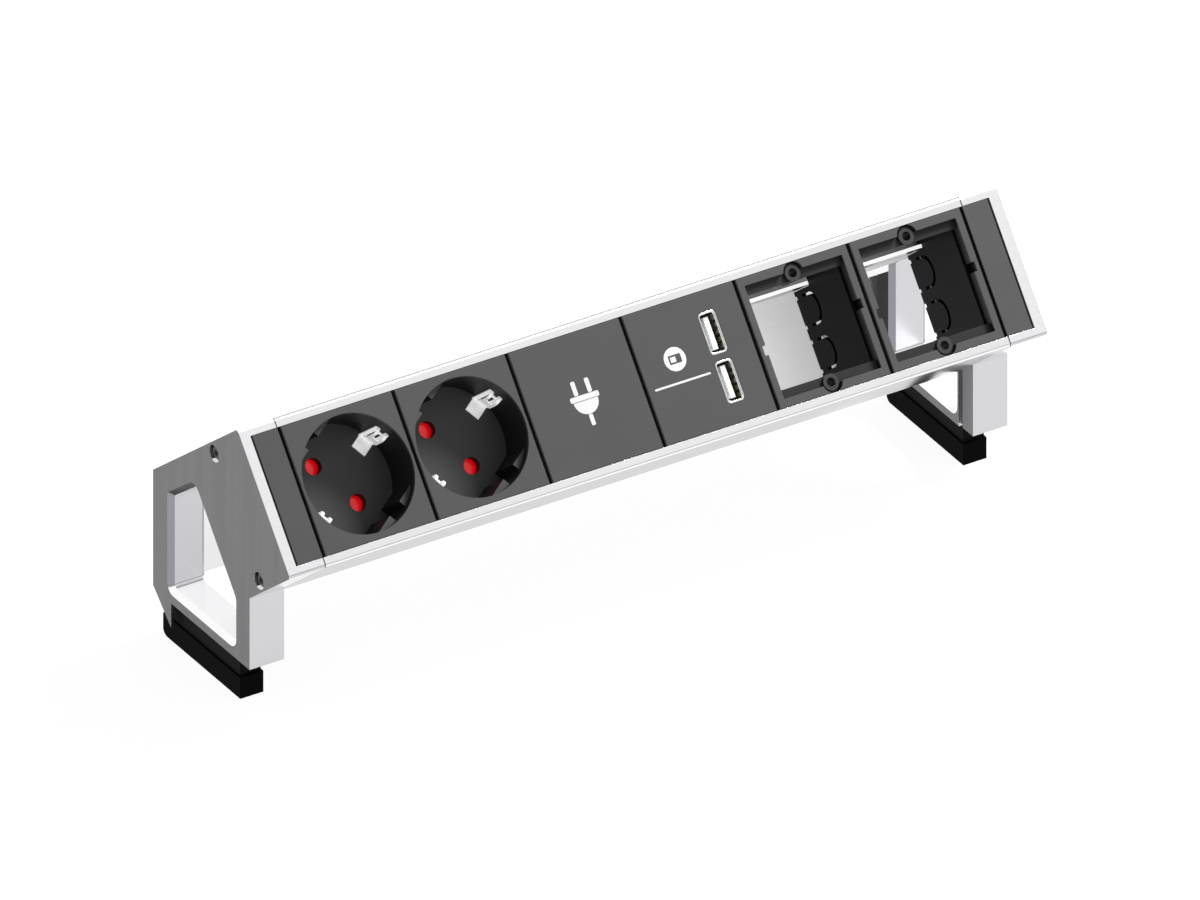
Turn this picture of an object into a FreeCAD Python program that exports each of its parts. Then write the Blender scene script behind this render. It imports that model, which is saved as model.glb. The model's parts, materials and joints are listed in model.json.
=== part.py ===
"""Desk power strip: a tilted aluminium profile with plug-in modules, held up by two end caps with legs.

Row frame, in millimetres: +X runs to the right along the strip, -Y is the front, +Z is up, and the
origin is the bottom centre of the whole strip. The modules sit in a face that leans back. Points on
and behind that face are given as (x, u, t): u runs down the slope from the face's top edge, and t
runs into the strip, square to the face.
"""
import FreeCAD, Part
import math
import os
from FreeCAD import Placement, Rotation, Vector

os.makedirs("parts", exist_ok=True)

# ---- driving dimensions ----
PITCH = 43.2                      # one module place along the strip
MODULES = 6
CAP_WIDTH = 14.0                  # one end cap, along the strip
SPACER_GAP = 1.2                  # gap between two module plates
TILT = 50.74                      # slope of the module face, degrees from the horizontal
FACE_HEIGHT = 51.4                # face, down the slope, rims included
RIM = 3.3                         # visible rim above and below the modules
LIP = 2.5                         # depth of the rims that hold the module plates
WALL = 2.0                        # outer walls of the profile
EDGE_RADIUS = 1.3                 # rounded front edges
CHAMBER_DEPTH = 41.5              # from the face to the inner wall
INNER_WALL = 1.6
BACK = 51.94                      # rear surface, behind the face's top edge
SKIRT_DROP = 86.2                 # rear skirt's lower edge, below the face's top edge
LEG_DROP = 87.4                   # leg's underside, below the face's top edge
HEIGHT = 104.0                    # foot's underside, below the face's top edge
PORT_U, PORT_T = 3.85, 21.6       # screw port near the top wall; the lower one mirrors it
PLATE = 2.7                       # module plate, down to the flange that slides behind the lips
FLANGE = 4.5                      # back of that flange
CLEAR = 0.1                       # gap around fitted parts
RECESS_RADIUS, RECESS_DEPTH = 20.1, 18.0
FLOOR = 3.0                       # floor of a socket's recess
PIN_OFFSET = 9.5                  # plug pins stand 19 mm apart
PIN_ANGLE = -55.0                 # direction of the pin line, degrees from +X, seen from the front
EARTH_ANGLE = PIN_ANGLE + 90.0
WIRE_LANE = 39.2                  # depth at which the wires run behind the modules
WIRE_RADIUS = 1.1

# ---- derived values ----
SLOPE_SIN, SLOPE_COS = math.sin(math.radians(TILT)), math.cos(math.radians(TILT))
MID_U = FACE_HEIGHT / 2
LENGTH = MODULES * PITCH + 2 * (CAP_WIDTH + 0.4)
LEFT = -LENGTH / 2
JOINT = LEFT + CAP_WIDTH          # plane between the left cap and the profile
PLATE_HALF = (PITCH - SPACER_GAP) / 2
PLATE_TOP, PLATE_BOTTOM = RIM + CLEAR, FACE_HEIGHT - RIM - CLEAR
WALL_BACK = CHAMBER_DEPTH + INNER_WALL
CENTRES = [(k - (MODULES - 1) / 2) * PITCH for k in range(MODULES)]
SOCKET_1, SOCKET_2, BLANK, USB, CUSTOM_1, CUSTOM_2 = CENTRES
REAR_STEP = 28.4                  # behind this depth the chamber is narrowed by the shelf rib
SHELF_U = (9.2, 10.4)


def below_edge(u, t):
    """(y, z) of a point of the face frame, counted from the face's top edge."""
    return t * SLOPE_SIN - u * SLOPE_COS, -(t * SLOPE_COS + u * SLOPE_SIN)


front_corner_y = below_edge(FACE_HEIGHT - EDGE_RADIUS, EDGE_RADIUS)[0] - EDGE_RADIUS
EDGE_Y = -(front_corner_y + BACK) / 2
FACE = Placement(Vector(0, EDGE_Y, HEIGHT), Rotation(Vector(1, 0, 0), TILT))


# ---- tools shared by the pieces ----
def block(x0, x1, u0, u1, t0, t1):
    """Block in the face frame."""
    return Part.makeBox(x1 - x0, u1 - u0, t1 - t0, Vector(x0, -u1, -t1))


def rod(x, u, t0, t1, radius):
    """Cylinder square to the face."""
    return Part.makeCylinder(radius, t1 - t0, Vector(x, -u, -t1))


def cross_rod(x0, x1, u, t, radius):
    """Cylinder along the strip."""
    return Part.makeCylinder(radius, x1 - x0, Vector(x0, -u, -t), Vector(1, 0, 0))


def turned(shape, x, angle):
    """Shape turned about the face normal through the middle of the module at x."""
    copy = shape.copy()
    copy.rotate(Vector(x, -MID_U, 0), Vector(0, 0, 1), angle)
    return copy


def on_face(shape):
    """Moves a shape from the face frame to the row frame."""
    copy = shape.copy()
    copy.Placement = FACE.multiply(copy.Placement)
    return copy


def side_prism(points, x0, x1):
    """Solid with an outline in (y, z), counted from the face's top edge, between two x planes."""
    corners = [Vector(x0, EDGE_Y + y, HEIGHT + z) for y, z in points]
    return Part.Face(Part.makePolygon(corners + corners[:1])).extrude(Vector(x1 - x0, 0, 0))


def edges_along_x(shape, y, z):
    """Edges parallel to X through (y, z), counted from the face's top edge."""
    found = []
    for edge in shape.Edges:
        ends = [v.Point for v in edge.Vertexes]
        if len(ends) == 2 and abs(ends[0].x - ends[1].x) > 1:
            if all(math.hypot(p.y - EDGE_Y - y, p.z - HEIGHT - z) < 0.01 for p in ends):
                found.append(edge)
    return found


def save(node, *shapes):
    """Writes one sub-part, as a group if it has several solids."""
    shape = shapes[0] if len(shapes) == 1 else Part.makeCompound(list(shapes))
    shape.exportStep(f"parts/{node}.step")


def save_pair(node, shape):
    """Writes a left piece and its mirror image on the right."""
    save(f"{node}_left", shape)
    save(f"{node}_right", shape.mirror(Vector(0, 0, 0), Vector(1, 0, 0)))


def save_both(node, shapes):
    """Writes a left group and its mirror image on the right as one node."""
    save(node, *shapes, *[shape.mirror(Vector(0, 0, 0), Vector(1, 0, 0)) for shape in shapes])


# ---- profile ----
PORT_WALL, PORT_HOLE = 2.7, 1.5   # radii of the screw ports
PORT_MOUTH = 5.4                  # the ports are open beyond this distance from the top or bottom wall
CABLE_RIB = [(43.0, -39.0), (43.0, -50.8), (44.3, -50.8), (44.3, -38.0)]
GUIDE_RIB = (17.2, 19.7)          # low rib on the inner wall
GUIDE_GROOVE = (12.15, 12.45)
OUTLET = (CUSTOM_2 - 20.6, CUSTOM_2 + 20.6, 11.4, FACE_HEIGHT - WALL)   # cable way behind the last module
INLET_HALF = (12.0, 8.0)          # body of the mains inlet, along x and u
INLET_SCREWS = [(BLANK - 13.6, MID_U - 3.1), (BLANK + 13.6, MID_U + 3.1)]


def back_at(u):
    """Depth at which a line down the slope meets the rear surface."""
    return (BACK + u * SLOPE_COS) / SLOPE_SIN


def housing_profile():
    top_wall = [below_edge(0, 0), below_edge(0, back_at(0)), below_edge(WALL, back_at(WALL)),
                below_edge(WALL, 0)]
    skirt_top = below_edge(1.0, back_at(1.0))[1]
    skirt = [(BACK, skirt_top), (BACK, -SKIRT_DROP), (BACK - WALL, -SKIRT_DROP),
             (BACK - WALL, skirt_top + 2.0)]
    x0, x1 = JOINT, -JOINT
    shape = side_prism(top_wall, x0, x1).fuse([side_prism(skirt, x0, x1), side_prism(CABLE_RIB, x0, x1)])
    lower_port_u = FACE_HEIGHT - PORT_U
    chamber = [
        block(x0, x1, 1.0, FACE_HEIGHT, CHAMBER_DEPTH, WALL_BACK),
        block(x0, x1, FACE_HEIGHT - WALL, FACE_HEIGHT, 0, WALL_BACK),
        block(x0, x1, 0, RIM, 0, LIP),
        block(x0, x1, FACE_HEIGHT - RIM, FACE_HEIGHT, 0, LIP),
        block(x0, x1, SHELF_U[0], SHELF_U[1], REAR_STEP + 0.3, CHAMBER_DEPTH + 0.2),
        block(x0, x1, *GUIDE_RIB, CHAMBER_DEPTH - 0.25, CHAMBER_DEPTH + 0.2),
        cross_rod(x0, x1, PORT_U, PORT_T, PORT_WALL).cut(block(x0, x1, PORT_MOUTH, 9, 15, 28)),
        cross_rod(x0, x1, lower_port_u, PORT_T, PORT_WALL).cut(
            block(x0, x1, FACE_HEIGHT - 9, FACE_HEIGHT - PORT_MOUTH, 15, 28)),
    ]
    shape = shape.fuse([on_face(piece) for piece in chamber]).removeSplitter()
    rounded = edges_along_x(shape, *below_edge(0, 0)) + edges_along_x(shape, *below_edge(FACE_HEIGHT, 0))
    shape = shape.makeFillet(EDGE_RADIUS, rounded)
    half_x, half_u = (size + CLEAR for size in INLET_HALF)
    openings = [
        cross_rod(x0, x1, PORT_U, PORT_T, PORT_HOLE),
        cross_rod(x0, x1, lower_port_u, PORT_T, PORT_HOLE),
        block(x0, x1, *GUIDE_GROOVE, CHAMBER_DEPTH - 1, CHAMBER_DEPTH + 0.2),
        block(*OUTLET, CHAMBER_DEPTH - 1, WALL_BACK + 1),
        block(BLANK - half_x, BLANK + half_x, MID_U - half_u, MID_U + half_u,
              CHAMBER_DEPTH - 1, WALL_BACK + 1),
        rod(0, MID_U, CHAMBER_DEPTH - 1, WALL_BACK + 1, 2.1),
    ]
    openings += [rod(x, u, CHAMBER_DEPTH - 1, WALL_BACK + 1, 1.3) for x, u in INLET_SCREWS]
    return shape.cut([on_face(piece) for piece in openings])


# ---- end caps and what they hold ----
LEG_FRONT = -7.6
LEG_INSET = 0.9                   # the leg's front post is this much narrower than the head
TAB = 1.35                        # lug on the outer side that hides the end of the foot
WINDOW = [(41.4, -47.3), (26.6, -35.7), (2.45, -65.2), (2.45, -82.3), (41.4, -82.3)]
WINDOW_CHAMFER = 1.8
SEAM_WIDTH, SEAM_DEPTH = 0.35, 0.8
HEAD_SEAT = 2.6                   # depth of the counterbores for the cap screws
PANEL_PEGS = (12.0, FACE_HEIGHT - 12.0)   # places of the end panel's pegs, down the slope


def underside_z(y):
    """Height of the underside, which is square to the face, at y."""
    return below_edge(FACE_HEIGHT, (y + FACE_HEIGHT * SLOPE_COS) / SLOPE_SIN)[1]


def end_cap():
    bevel = (BACK - 41.0) / (96.5 - SKIRT_DROP)
    outline = [below_edge(0, 0), below_edge(0, back_at(0)), (BACK, -SKIRT_DROP),
               (BACK - (LEG_DROP - SKIRT_DROP) * bevel, -LEG_DROP), (LEG_FRONT, -LEG_DROP),
               (LEG_FRONT, underside_z(LEG_FRONT)), below_edge(FACE_HEIGHT, 0)]
    tab = [(41.0, -80.0), (41.0, -96.5), (BACK, -SKIRT_DROP), (BACK, -80.0)]
    shape = side_prism(outline, LEFT, JOINT)
    rounded = edges_along_x(shape, *below_edge(0, 0)) + edges_along_x(shape, *below_edge(FACE_HEIGHT, 0))
    shape = shape.makeFillet(EDGE_RADIUS, rounded)
    shape = shape.fuse(side_prism(tab, LEFT, LEFT + TAB)).removeSplitter()
    shape = shape.cut(seam(shape))
    post_step = [(-9.0, underside_z(-9.0)), (0.2, underside_z(0.2)), (0.2, -88.0), (-9.0, -88.0)]
    groove = [(-1.2, underside_z(-1.2)), (0.2, underside_z(0.2)), (0.2, -88.0), (-1.2, -88.0)]
    cuts = [side_prism(post_step, JOINT - LEG_INSET, JOINT + 1), side_prism(groove, JOINT - 1.9, JOINT + 1)]
    window = side_prism(WINDOW, LEFT - 1, JOINT + 1)
    corners = [edge for y, z in WINDOW for edge in edges_along_x(window, y, z)]
    shape = shape.cut(cuts + [window.makeFillet(2.0, corners)])
    mouths = [edge for edge in shape.Edges if is_window_mouth(edge)]
    shape = shape.makeChamfer(WINDOW_CHAMFER, mouths)
    face_cuts = [
        block(LEFT + 3.7, JOINT + 1, RIM, FACE_HEIGHT - RIM, -1, 2.0),
        block(LEFT + 3.0, JOINT + 1, 7.0, FACE_HEIGHT - 7.0, 3.6, 40.0),
    ]
    face_cuts += [rod(LEFT + 9.0, u, 1, 5, 1.65) for u in PANEL_PEGS]
    for u in (PORT_U, FACE_HEIGHT - PORT_U):
        face_cuts.append(cross_rod(LEFT - 1, LEFT + HEAD_SEAT, u, PORT_T, 3.0))
        face_cuts.append(cross_rod(LEFT, JOINT + 1, u, PORT_T, 1.6))
    shape = shape.cut([on_face(piece) for piece in face_cuts])
    return shape.cut([Part.makeCylinder(1.6, 4.2, Vector(FOOT_MIDDLE, y, HEIGHT - LEG_DROP - 0.4))
                      for y in FOOT_SCREWS_Y])


def seam(cap):
    """Narrow rebate round the cap's inner end, which shows as a line where it meets the profile."""
    end = next(face for face in cap.Faces if face.BoundBox.XMin > JOINT - 0.01)
    return end.cut(end.makeOffset2D(-SEAM_DEPTH)).extrude(Vector(-SEAM_WIDTH, 0, 0))


def is_window_mouth(edge):
    """True for an edge of the window at the leg's outer or inner side."""
    box = edge.BoundBox
    if box.XLength > 0.01 or min(abs(box.XMin - LEFT), abs(box.XMin - JOINT)) > 0.01:
        return False
    y0, y1, z0, z1 = box.YMin - EDGE_Y, box.YMax - EDGE_Y, box.ZMin - HEIGHT, box.ZMax - HEIGHT
    if y0 < 2.3 or y1 > 41.5 or z0 < -82.4 or z1 > -35.0:
        return False
    return True


FOOT_Y = (1.7, 49.3)              # front and back of the foot pad, behind the face's top edge
FOOT_X = (2.2, 11.0)              # sides of the foot pad, from the cap's outer side
FOOT_LEDGE = 0.9
FOOT_SPLIT = 96.0                 # seam between rail and pad, below the face's top edge
FOOT_SCREWS_Y = [EDGE_Y + 12.0, EDGE_Y + 36.0]
FOOT_MIDDLE = LEFT + sum(FOOT_X) / 2


def foot_rail():
    shape = Part.makeBox(FOOT_X[1] - FOOT_X[0] - FOOT_LEDGE, FOOT_Y[1] - FOOT_Y[0] - 2 * FOOT_LEDGE,
                         FOOT_SPLIT - LEG_DROP,
                         Vector(LEFT + FOOT_X[0] + FOOT_LEDGE / 2, EDGE_Y + FOOT_Y[0] + FOOT_LEDGE,
                                HEIGHT - FOOT_SPLIT))
    for y in FOOT_SCREWS_Y:
        place = Vector(FOOT_MIDDLE, y, HEIGHT - FOOT_SPLIT - 1)
        shape = shape.cut([Part.makeCylinder(1.6, 12, place), Part.makeCylinder(2.9, 3.2, place)])
    return shape


def foot_pad():
    corner = 2.6
    x0, x1 = LEFT + FOOT_X[0], LEFT + FOOT_X[1]
    y0, y1 = EDGE_Y + FOOT_Y[0], EDGE_Y + FOOT_Y[1]
    shape = Part.makeBox(x1 - x0, y1 - y0, HEIGHT - FOOT_SPLIT, Vector(x0, y0, 0))
    back_low = [e for e in shape.Edges if e.BoundBox.YMin > y1 - 0.01 and e.BoundBox.ZMax < 0.01]
    return shape.makeFillet(corner, back_low)


def foot_screws():
    screws = []
    for y in FOOT_SCREWS_Y:
        base = Vector(FOOT_MIDDLE, y, HEIGHT - FOOT_SPLIT)
        shank = Part.makeCylinder(1.5, 11.6, base)
        screws.append(shank.fuse(Part.makeCylinder(2.8, 2.0, base)).removeSplitter())
    return screws


def end_panel():
    plate = block(LEFT + 4.4, LEFT + 13.8, PLATE_TOP, PLATE_BOTTOM, 0.1, 1.9)
    pegs = [rod(LEFT + 9.0, u, 1.5, 4.6, 1.6) for u in PANEL_PEGS]
    return on_face(plate.fuse(pegs).removeSplitter())


def end_cap_screws():
    screws = []
    for u in (PORT_U, FACE_HEIGHT - PORT_U):
        head = cross_rod(LEFT + 0.5, LEFT + HEAD_SEAT, u, PORT_T, 2.8)
        drive = cross_rod(LEFT + 0.2, LEFT + 1.7, u, PORT_T, 1.2)
        shank = cross_rod(LEFT + 2.0, LEFT + 26.0, u, PORT_T, 1.45)
        screws.append(on_face(head.fuse(shank).cut(drive).removeSplitter()))
    return screws


save("housing_profile", housing_profile())
save_pair("end_cap", end_cap())
save_pair("end_panel", end_panel())
save_pair("foot_rail", foot_rail())
save_pair("foot_pad", foot_pad())
save_both("foot_screws", foot_screws())
save_both("end_cap_screws", end_cap_screws())


# ---- module plates ----
def module_plate(x):
    """Plate between the rims, with the flange that slides behind their lips."""
    front = block(x - PLATE_HALF, x + PLATE_HALF, PLATE_TOP, PLATE_BOTTOM, 0, FLANGE)
    front_edges = [e for e in front.Edges if e.BoundBox.ZMin > -0.01]
    front = front.makeChamfer(0.25, front_edges)
    flange = block(x - PLATE_HALF, x + PLATE_HALF, WALL + 0.25, FACE_HEIGHT - WALL - 0.25, PLATE, FLANGE)
    return front.fuse(flange).removeSplitter()


def module_spacer(x):
    """Black strip that fills the gap between two plates."""
    front = block(x - 0.55, x + 0.55, PLATE_TOP, PLATE_BOTTOM, 0.7, 1.9)
    web = block(x - 0.3, x + 0.3, PLATE_TOP, PLATE_BOTTOM, 1.9, 12.0)
    flange = block(x - 0.3, x + 0.3, WALL + 0.25, FACE_HEIGHT - WALL - 0.25, PLATE, FLANGE)
    return on_face(front.fuse([web, flange]).removeSplitter())


for index in range(MODULES + 1):
    save(f"module_spacer_{index + 1}", module_spacer((index - MODULES / 2) * PITCH))

# ---- earthed sockets ----
GUIDE_CHORD = 17.25               # guide blocks fill the recess beyond this distance
GUIDE_TOP = 3.5                   # depth at which they start
GUIDE_NOTCH = 6.1
PIN_HOLE = 2.9
ROTOR = (RECESS_DEPTH + FLOOR + 0.2, RECESS_DEPTH + FLOOR + 2.2)   # depths of the shutter
HUB, PAD, SPINDLE = 4.2, 3.5, 1.5                                  # radii of its hub, pads and spindle
BASE_FRONT = ROTOR[1] + 0.2
BASE_BACK = 36.2
BASE_HALF = 19.6                  # half width of the contact base along the strip
POST = 18.2                       # corner posts that carry the contact base
LEG_RADIUS = 18.9                 # inner side of the earth clip's legs, from the socket's axis
CLIP_WIDTH, CLIP_SHEET = 5.4, 0.5
BEND_RADIUS, BEND_DEPTH = 1.6, 5.0      # fold at the top of the clip's arm


def socket_faceplate(x):
    wall = rod(x, MID_U, 0, RECESS_DEPTH + 1.0, RECESS_RADIUS + 0.85)
    floor = rod(x, MID_U, RECESS_DEPTH, RECESS_DEPTH + FLOOR, RECESS_RADIUS)
    posts = [rod(x + sx * POST, MID_U + su * POST, FLANGE - 0.5, BASE_FRONT, 1.8)
             for sx in (-1, 1) for su in (-1, 1)]
    shape = module_plate(x).fuse([wall] + posts).cut(rod(x, MID_U, -1, RECESS_DEPTH, RECESS_RADIUS))
    shape = shape.fuse(floor)
    guides = []
    for side in (0, 180):
        segment = rod(x, MID_U, GUIDE_TOP, RECESS_DEPTH + 0.5, RECESS_RADIUS + 0.4)
        segment = segment.common(block(x + GUIDE_CHORD, x + 25, MID_U - 25, MID_U + 25, 0, 30))
        notch = block(x + 10, x + 25, MID_U - GUIDE_NOTCH / 2, MID_U + GUIDE_NOTCH / 2, 0, RECESS_DEPTH)
        guides.append(turned(segment.cut(notch), x, PIN_ANGLE + side))
    shape = shape.fuse(guides)
    cuts = []
    for side in (0, 180):
        cuts.append(turned(rod(x + PIN_OFFSET, MID_U, 10, 30, PIN_HOLE), x, PIN_ANGLE + side))
        slot = block(x + LEG_RADIUS - 0.3, x + LEG_RADIUS + 0.8, MID_U - 3.0, MID_U + 3.0,
                     RECESS_DEPTH - 0.1, 30)
        cuts.append(turned(slot, x, EARTH_ANGLE + side))
    cuts += [rod(x + sx * POST, MID_U + su * POST, FLANGE + 6, 30, 1.0) for sx in (-1, 1) for su in (-1, 1)]
    cuts.append(rod(x, MID_U, ROTOR[0] - 0.7, 30, SPINDLE + 0.1))
    return on_face(shape.cut(cuts).removeSplitter())


TERMINAL = (10.8, 17.8, 4.6, 12.6)      # x and distance down the slope from the socket's axis
WIRES_X = (12.3, 16.3)                  # wire places in a terminal
WIRE_U = 6.3
SCREW_PLACE = (14.3, 10.2)
PIN_X = PIN_OFFSET * math.cos(math.radians(PIN_ANGLE))
PIN_U = -PIN_OFFSET * math.sin(math.radians(PIN_ANGLE))
TERMINAL_BACK = 34.2
CONTACT_SHEET = 0.8


def contact_base(x):
    front = block(x - BASE_HALF, x + BASE_HALF, MID_U - 20.0, MID_U + 20.0, BASE_FRONT, REAR_STEP)
    rear = block(x - BASE_HALF, x + BASE_HALF, MID_U - 14.9, MID_U + 14.9, REAR_STEP, BASE_BACK)
    spindle = rod(x, MID_U, ROTOR[0] - 0.5, BASE_FRONT + 1, SPINDLE)
    shape = front.fuse(rear).removeSplitter()
    cuts = [rod(x, MID_U, BASE_FRONT - 1, BASE_FRONT + 4.2, 5.4).cut(rod(x, MID_U, 20, 30, 2.4))]
    tx0, tx1, tu0, tu1 = TERMINAL
    for side in (0, 180):
        pocket = block(x + PIN_X - 1, x + tx1 + 0.5, MID_U + tu0 - 0.4, MID_U + tu1 + 0.4,
                       BASE_FRONT - 1, TERMINAL_BACK + 0.2)
        wires = [rod(x + wx, MID_U + WIRE_U, 30, 40, WIRE_RADIUS + 0.15) for wx in WIRES_X]
        screw = rod(x + SCREW_PLACE[0], MID_U + SCREW_PLACE[1], 30, 40, 2.3)
        sleeve = rod(x + PIN_X, MID_U + PIN_U, BASE_FRONT - 1, TERMINAL_BACK + 0.2, 3.7)
        cuts += [turned(piece, x, side) for piece in [pocket, sleeve, screw] + wires]
        slot = block(x + LEG_RADIUS - 0.2, x + LEG_RADIUS + 0.7, MID_U - 2.9, MID_U + 2.9, 20, 40)
        cuts.append(turned(slot, x, EARTH_ANGLE + side))
    cuts += [rod(x + sx * POST, MID_U + su * POST, 20, 30, 1.2) for sx in (-1, 1) for su in (-1, 1)]
    shape = shape.cut(cuts)
    return on_face(shape.fuse(spindle).removeSplitter())


def shutter(x):
    """Turning shutter: a hub on the base's spindle and a red pad under each pin hole."""
    hub = rod(x, MID_U, ROTOR[0], ROTOR[1], HUB)
    arms = turned(block(x - PIN_OFFSET, x + PIN_OFFSET, MID_U - 2.2, MID_U + 2.2, ROTOR[0], ROTOR[1]),
                  x, PIN_ANGLE)
    pads = [turned(rod(x + PIN_OFFSET, MID_U, ROTOR[0], ROTOR[1], PAD), x, PIN_ANGLE + side)
            for side in (0, 180)]
    shape = hub.fuse([arms] + pads).cut(rod(x, MID_U, 15, 30, SPINDLE + 0.06))
    return on_face(shape.removeSplitter())


def shutter_spring(x):
    """Flat spiral spring round the spindle's root: half circles that grow by half a pitch each."""
    halves, first_radius, growth, sheet = 5, 2.75, 0.38, 0.3

    def half_circle(k, radius):
        middle = 0 if k % 2 == 0 else growth
        turn = [math.pi * (k + part) for part in (0, 0.5, 1)]
        return [Vector(middle + radius * math.cos(a), radius * math.sin(a), 0) for a in turn]

    inner = [half_circle(k, first_radius + k * growth) for k in range(halves)]
    outer = [half_circle(k, first_radius + k * growth + sheet) for k in range(halves)]
    edges = [Part.Arc(*points).toShape() for points in inner + outer]
    edges.append(Part.makeLine(inner[0][0], outer[0][0]))
    edges.append(Part.makeLine(inner[-1][2], outer[-1][2]))
    coil = Part.Face(Part.Wire(Part.__sortEdges__(edges))).extrude(Vector(0, 0, 3.0))
    coil.translate(Vector(x, -MID_U, -(BASE_FRONT + 3.8)))
    return on_face(coil)


def pin_contact(x, side):
    """Brass sleeve for one plug pin, with its terminal block."""
    sleeve = rod(x + PIN_X, MID_U + PIN_U, BASE_FRONT + 0.6, TERMINAL_BACK, 3.2)
    tx0, tx1, tu0, tu1 = TERMINAL
    strip = block(x + PIN_X, x + tx1, MID_U + tu0 + 0.6, MID_U + tu1 - 0.6,
                  TERMINAL_BACK - CONTACT_SHEET, TERMINAL_BACK)
    clamp = block(x + tx0, x + tx1, MID_U + tu0, MID_U + tu1, 27.5, TERMINAL_BACK)
    bore = rod(x + PIN_X, MID_U + PIN_U, BASE_FRONT, TERMINAL_BACK - CONTACT_SHEET, 2.45)
    slit = block(x + PIN_X - 0.4, x + PIN_X + 0.4, MID_U + PIN_U, MID_U + PIN_U + 5,
                 BASE_FRONT, TERMINAL_BACK - 1.5)
    thread = rod(x + SCREW_PLACE[0], MID_U + SCREW_PLACE[1], 28.5, 40, 1.5)
    shape = sleeve.fuse([strip, clamp]).cut([bore, slit, thread]).removeSplitter()
    return on_face(turned(shape, x, side))


def terminal_screws(x):
    screws = []
    for side in (0, 180):
        px, pu = x + SCREW_PLACE[0], MID_U + SCREW_PLACE[1]
        screw = rod(px, pu, 29.0, BASE_BACK, 1.45).fuse(rod(px, pu, TERMINAL_BACK + 0.1, BASE_BACK, 2.2))
        screw = screw.cut(block(px - 3, px + 3, pu - 0.35, pu + 0.35, BASE_BACK - 0.8, BASE_BACK + 1))
        screws.append(on_face(turned(screw.removeSplitter(), x, side)))
    return screws


def base_screws(x):
    """Self-tapping screws from the back of the base into the plate's posts."""
    screws = []
    for sx, su in ((-1, -1), (1, -1), (-1, 1), (1, 1)):
        px, pu = x + sx * POST, MID_U + su * POST
        screws.append(on_face(rod(px, pu, 14, REAR_STEP, 0.95).fuse(
            rod(px, pu, REAR_STEP, REAR_STEP + 1.4, 1.55)).removeSplitter()))
    return screws


def clip_side(x):
    """One spring arm of the earth clip, its leg through the floor and half of the bridge."""
    half, sheet = CLIP_WIDTH / 2, CLIP_SHEET
    arm_half = half - 0.6
    outer = x + LEG_RADIUS + sheet
    low, high = MID_U - half, MID_U + half
    bridge_front = BASE_BACK + 0.2
    leg = block(x + LEG_RADIUS, outer, low, high, BEND_DEPTH, bridge_front + sheet)
    bridge = block(x - 0.5, outer, low, high, bridge_front, bridge_front + sheet)
    tab = block(x + 14.0, x + LEG_RADIUS + 0.1, low, high, RECESS_DEPTH - 0.7, RECESS_DEPTH - 0.7 + sheet)
    centre = Vector(outer - BEND_RADIUS, -(MID_U + arm_half), -BEND_DEPTH)
    bend = Part.makeCylinder(BEND_RADIUS, 2 * arm_half, centre, Vector(0, 1, 0))
    bend = bend.cut([Part.makeCylinder(BEND_RADIUS - sheet, 2 * arm_half, centre, Vector(0, 1, 0)),
                     block(x, x + 30, low, high, BEND_DEPTH, 9)])
    inner = outer - 2 * BEND_RADIUS
    points = [(inner, BEND_DEPTH), (inner + sheet, BEND_DEPTH), (inner - 0.1 + sheet, 9.5),
              (inner + 1.1 + sheet, 13.5), (inner + 1.1, 13.5), (inner - 0.1, 9.5)]
    corners = [Vector(px, -(MID_U + arm_half), -pt) for px, pt in points]
    arm = Part.Face(Part.makePolygon(corners + corners[:1])).extrude(Vector(0, 2 * arm_half, 0))
    window = block(x + LEG_RADIUS - 1, outer + 1, MID_U - 1.3, MID_U + 1.3, 8.0, 15.5)
    slot = block(inner - 1, outer + 1, MID_U - 1.1, MID_U + 1.1, 0, 7.0)
    return leg.cut(window).fuse([bridge, tab, bend, arm]).cut(slot)


def earth_clip(x):
    sides = [turned(clip_side(x), x, EARTH_ANGLE + side) for side in (0, 180)]
    return on_face(sides[0].fuse(sides[1]).removeSplitter())


for number, centre in ((1, SOCKET_1), (2, SOCKET_2)):
    save(f"socket_{number}_faceplate", socket_faceplate(centre))
    save(f"socket_{number}_contact_base", contact_base(centre))
    save(f"socket_{number}_shutter", shutter(centre))
    save(f"socket_{number}_shutter_spring", shutter_spring(centre))
    save(f"socket_{number}_earth_clip", earth_clip(centre))
    save(f"socket_{number}_line_contact", pin_contact(centre, 0))
    save(f"socket_{number}_neutral_contact", pin_contact(centre, 180))
    save(f"socket_{number}_terminal_screws", *terminal_screws(centre))
    save(f"socket_{number}_base_screws", *base_screws(centre))


# ---- plain cover ----
def blank_cover():
    ribs = [block(BLANK + side - 0.6, BLANK + side + 0.6, 6.5, FACE_HEIGHT - 6.5, FLANGE - 0.5, 10.0)
            for side in (-14.0, 0, 14.0)]
    return on_face(module_plate(BLANK).fuse(ribs).removeSplitter())


save("blank_cover", blank_cover())

# ---- charger module ----
PORT_X = USB + 8.3
PORT_PLACES = {"upper": MID_U - 8.3, "lower": MID_U + 8.3}
SHELL_HALF = (3.25, 7.2)          # half width and half length of a port's shell
SHELL_HOLE = (2.5, 6.3)
TONGUE = (-1.0, 0.8)              # faces of the tongue, from the port's centre
BOARD_FRONT, BOARD_BACK = 15.2, 16.8
CASE_BACK = 28.2


def rounded_block(x, u, half_x, half_u, t0, t1, radius):
    shape = block(x - half_x, x + half_x, u - half_u, u + half_u, t0, t1)
    upright = [e for e in shape.Edges if e.BoundBox.ZLength > t1 - t0 - 0.01]
    return shape.makeFillet(radius, upright)


def usb_cover():
    holes = [rounded_block(PORT_X, u, SHELL_HALF[0] + CLEAR, SHELL_HALF[1] + CLEAR, -1, 8, 1.4)
             for u in PORT_PLACES.values()]
    return on_face(module_plate(USB).cut(holes))


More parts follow.
